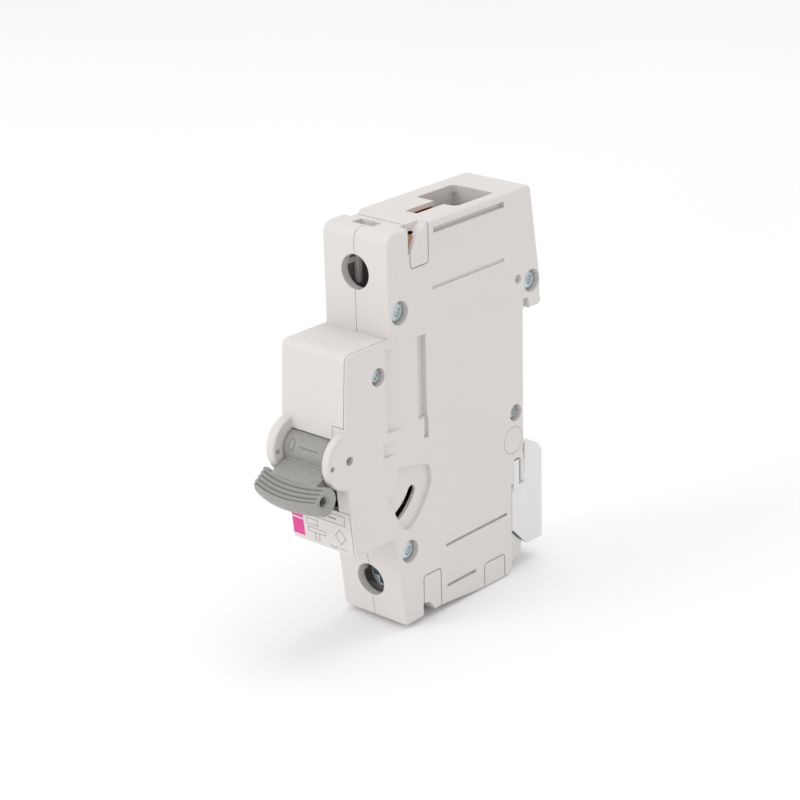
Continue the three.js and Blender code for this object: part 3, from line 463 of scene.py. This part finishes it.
def stroke(points, width, closed=False):
    """Outlines, one per stretch of a line of the given width, as short overlapping bars."""
    following = points[1:] + points[:1] if closed else points[1:]
    bars = []
    for (u0, v0), (u1, v1) in zip(points, following):
        length = math.hypot(u1 - u0, v1 - v0)
        along = ((u1 - u0) / length * width / 2, (v1 - v0) / length * width / 2)
        across = (-along[1], along[0])
        bars.append(
            [
                (u0 - along[0] - across[0], v0 - along[1] - across[1]),
                (u1 + along[0] - across[0], v1 + along[1] - across[1]),
                (u1 + along[0] + across[0], v1 + along[1] + across[1]),
                (u0 - along[0] + across[0], v0 - along[1] + across[1]),
            ]
        )
    return bars


def rectangle(u0, u1, v0, v1):
    return [(u0, v0), (u1, v0), (u1, v1), (u0, v1)]


def ring_points(u, v, radius_u, radius_v, count):
    turns = [2 * math.pi * k / count for k in range(count)]
    return [(u + radius_u * math.cos(turn), v + radius_v * math.sin(turn)) for turn in turns]


def box_faces(x0, x1, y0, y1, z0, z1):
    def place(u, v, lift):
        return Vector((u, v, z0 + lift)) * MM

    return slab(rectangle(x0, x1, y0, y1), place, z1 - z0)


# ------------------------------------------------------------------ printed marks on the nose

NOSE_LOW = Vector((0, -55.9, -22.7))
NOSE_BEND = Vector((0, -57.6, -7.0))
NOSE_UP = (NOSE_BEND - NOSE_LOW).normalized()
NOSE_OUT = NOSE_UP.cross(Vector((1, 0, 0))) * -1
PRINT_DEPTH = 0.015
PRINT_LINE = 0.16
PRINT_SUNK = 0.02


def on_nose(x, z, lift):
    """A point on the nose's lower front face, at that x and height, raised by lift."""
    share = (z - NOSE_LOW.z) / (NOSE_BEND.z - NOSE_LOW.z)
    foot = NOSE_LOW.lerp(NOSE_BEND, share)
    return (Vector((x, foot.y, foot.z)) + NOSE_OUT * (lift - PRINT_SUNK)) * MM


def printed(name, outlines, material):
    faces = []
    for outline in outlines:
        faces += slab(outline, on_nose, PRINT_DEPTH + PRINT_SUNK)
    piece(name, mesh_of(name, faces), material, "root")


def add_printed_marks():
    printed(
        "magenta_field",
        [rectangle(-8.7, -5.5, -21.2, -17.4), rectangle(-8.7, -5.5, -17.0, -13.2)],
        MAGENTA_INK,
    )
    frame_box = stroke(rectangle(-4.5, 6.7, -15.6, -13.4), PRINT_LINE, True)
    rating = stroke(rectangle(-4.5, -1.4, -17.9, -16.5), PRINT_LINE, True)
    printed("rating_boxes", frame_box + rating, GREY_INK)
    # a plain one-line diagram: a contact, a trip unit box and its stem
    diagram = stroke(rectangle(-4.2, 0.7, -19.6, -18.6), PRINT_LINE, True)
    diagram += stroke(rectangle(-2.4, -1.2, -21.2, -19.6), PRINT_LINE, True)
    printed("wiring_diagram", diagram, GREY_INK)
    diamond = [(5.0, -20.4), (6.5, -18.6), (5.0, -16.8), (3.5, -18.6)]
    printed("inspection_mark", stroke(diamond, PRINT_LINE, True), GREY_INK)
    tail = [(1.8 + 0.35 * k, -21.2 - 0.35 * math.sin(math.pi * k / 6)) for k in range(7)]
    dash = stroke([(4.6, -21.4), (6.4, -21.4)], PRINT_LINE)
    printed("tail_line", stroke(tail, PRINT_LINE) + dash, GREY_INK)
    bars = [rectangle(-3.0, 1.4, -14.7, -14.3), rectangle(2.1, 4.3, -14.7, -14.3)]
    printed("rating_bars", bars, GREY_INK)


# ------------------------------------------------------------------ the sign on the drum

DRUM = Vector((0, -57.0, -0.2))
DRUM_RADIUS = 3.8
SIGN_TURN = 24  # degrees above the horizontal
SIGN_HEIGHT = 0.07
SIGN_SUNK = 0.03
NOUGHT_PLACE = -4.0
NOUGHT_HALF_WIDTH = 0.75
NOUGHT_HALF_HEIGHT = 1.25
NOUGHT_STEPS = 18
NOUGHT_LINE = 0.22
BAR_ENDS = [(-1.6, 0.0), (3.4, 0.0)]
BAR_LINE = 0.3


def on_drum(x, turn, lift):
    """A point on the drum: turn is in degrees above the horizontal, towards the front."""
    angle = math.radians(turn)
    out = Vector((0, -math.cos(angle), math.sin(angle)))
    return (DRUM + Vector((x, 0, 0)) + out * (DRUM_RADIUS - SIGN_SUNK + lift)) * MM


def add_drum_sign():
    """A raised nought and a bar: the sign for a circuit that is off."""
    turn_per_mm = math.degrees(1 / DRUM_RADIUS)
    nought = ring_points(
        NOUGHT_PLACE, 0, NOUGHT_HALF_WIDTH, NOUGHT_HALF_HEIGHT, NOUGHT_STEPS
    )
    faces = []
    for bar in stroke(nought, NOUGHT_LINE, True) + stroke(BAR_ENDS, BAR_LINE):
        outline = [(u, v * turn_per_mm + SIGN_TURN) for u, v in bar]
        faces += slab(outline, on_drum, SIGN_HEIGHT)
    piece("drum_sign", mesh_of("drum_sign", faces), LINE_INK, "lever")


# ------------------------------------------------------------------ inside the screw holes


SCREW_HEIGHT = 35.1
GUIDE_ROUNDING = 0.12
# x0, x1, y0, y1, then the lowest and highest point, measured from the screw's axis
SHORT_RIB = (-4.6, -3.9, -42.1, -38.6, 0.3, 1.6)
TALL_RIB = (-4.6, -3.5, -39.0, -37.8, -4.4, 4.6)
SCREW_GUIDES = {
    "upper_screw_guide": (SCREW_HEIGHT, [SHORT_RIB, TALL_RIB]),
    "lower_screw_guide": (-SCREW_HEIGHT, [SHORT_RIB]),
}


def add_screw_guides():
    """Ribs of the left half beside each terminal screw, seen through the round holes."""
    for name, (height, ribs) in SCREW_GUIDES.items():
        faces = []
        for x0, x1, y0, y1, low, high in ribs:
            faces += box_faces(x0, x1, y0, y1, height + low, height + high)
        guide = piece(name, mesh_of(name, faces), MATERIALS["housing"], "root")
        bevel = guide.modifiers.new("round_edges", "BEVEL")
        bevel.width = GUIDE_ROUNDING * MM
        bevel.segments = BEVEL_SEGMENTS


# ------------------------------------------------------------------ floor


FLOOR_REACH = 6.0
PAPER_TONES = ((0.93, 0.93, 0.93), (0.96, 0.96, 0.96))


def add_floor():
    nodes = Nodes("paper_floor")
    drift = nodes.spread(nodes.noise(PAPER_DRIFT, 2), 0.0, 1.0)
    nodes.join(nodes.mix(drift, *PAPER_TONES), nodes.shader.inputs["Base Color"])
    nodes.shader.inputs["Roughness"].default_value = 0.9
    low = CAD_BOX[0][2]
    corners = rectangle(-FLOOR_REACH, FLOOR_REACH, -FLOOR_REACH, FLOOR_REACH)
    mesh = mesh_of("floor", [[(x, y, low) for x, y in corners]])
    floor = bpy.data.objects.new("floor", mesh)
    mesh.materials.append(nodes.material)
    bpy.context.scene.collection.objects.link(floor)


add_camera()
add_lights()
add_floor()
dress_cad_nodes()
add_printed_marks()
add_drum_sign()
add_screw_guides()
